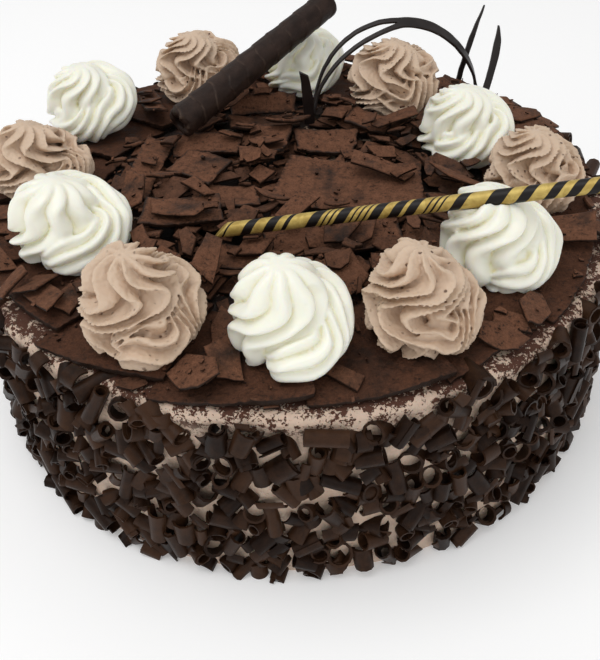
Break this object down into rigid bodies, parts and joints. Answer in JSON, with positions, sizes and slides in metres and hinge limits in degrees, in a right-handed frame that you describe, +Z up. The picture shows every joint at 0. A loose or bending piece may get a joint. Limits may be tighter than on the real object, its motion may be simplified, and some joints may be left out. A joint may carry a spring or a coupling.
{
  "type": "black forest cake",
  "caption": "Round cream-coated chocolate cake with rolled chocolate curls on its side, broken cocoa-dusted shards on top and a ring of piped cream rosettes.",
  "frame": {"origin": "centre of the cake's flat base", "axes": "+Z up; -Y towards the side that faces the viewer in the usual view"},
  "size_m": [0.2548, 0.2556, 0.1244],
  "materials": {
    "coating_cream": "soft matt whipped cream, pinkish beige",
    "chocolate": "satin rolled dark chocolate",
    "cocoa_dusted_chocolate": "dark chocolate with a matt dusting of cocoa",
    "white_cream": "soft gloss whipped cream, off-white",
    "chocolate_cream": "matt chocolate whipped cream, taupe",
    "gold_stripes": "dark chocolate printed with slanting gold stripes",
    "dark_chocolate": "satin dark chocolate, almost black"
  },
  "bodies": {
    "root": {"cake": "coating_cream", "side_curls": "chocolate", "shard_bed": "cocoa_dusted_chocolate", "rim_shard_01": "cocoa_dusted_chocolate", "rim_shard_02": "cocoa_dusted_chocolate", "rim_shard_03": "cocoa_dusted_chocolate", "rim_shard_04": "cocoa_dusted_chocolate", "rim_shard_05": "cocoa_dusted_chocolate", "rim_shard_06": "cocoa_dusted_chocolate", "rim_shard_07": "cocoa_dusted_chocolate", "rim_shard_08": "cocoa_dusted_chocolate", "rim_shard_09": "cocoa_dusted_chocolate", "rim_shard_10": "cocoa_dusted_chocolate", "rim_shard_11": "cocoa_dusted_chocolate", "rim_shard_12": "cocoa_dusted_chocolate", "rim_shard_13": "cocoa_dusted_chocolate", "rim_shard_14": "cocoa_dusted_chocolate", "rim_shard_15": "cocoa_dusted_chocolate", "rim_shard_16": "cocoa_dusted_chocolate", "shard_01": "cocoa_dusted_chocolate", "shard_02": "cocoa_dusted_chocolate", "shard_03": "cocoa_dusted_chocolate", "shard_04": "cocoa_dusted_chocolate", "shard_05": "cocoa_dusted_chocolate", "shard_06": "cocoa_dusted_chocolate", "shard_07": "cocoa_dusted_chocolate", "shard_08": "cocoa_dusted_chocolate", "shard_09": "cocoa_dusted_chocolate", "shard_10": "cocoa_dusted_chocolate", "shard_11": "cocoa_dusted_chocolate", "shard_12": "cocoa_dusted_chocolate", "shard_13": "cocoa_dusted_chocolate", "shard_14": "cocoa_dusted_chocolate", "shard_15": "cocoa_dusted_chocolate", "shard_16": "cocoa_dusted_chocolate", "white_rosette_1": "white_cream", "white_rosette_2": "white_cream", "white_rosette_3": "white_cream", "white_rosette_4": "white_cream", "white_rosette_5": "white_cream", "white_rosette_6": "white_cream", "chocolate_rosette_1": "chocolate_cream", "chocolate_rosette_2": "chocolate_cream", "chocolate_rosette_3": "chocolate_cream", "chocolate_rosette_4": "chocolate_cream", "chocolate_rosette_5": "chocolate_cream", "chocolate_rosette_6": "chocolate_cream", "chocolate_cigar": "chocolate", "striped_stick": "gold_stripes", "arch": "dark_chocolate", "spike_tall": "dark_chocolate", "spike_slim": "dark_chocolate", "spike_short": "dark_chocolate"}
  },
  "joints": []
}
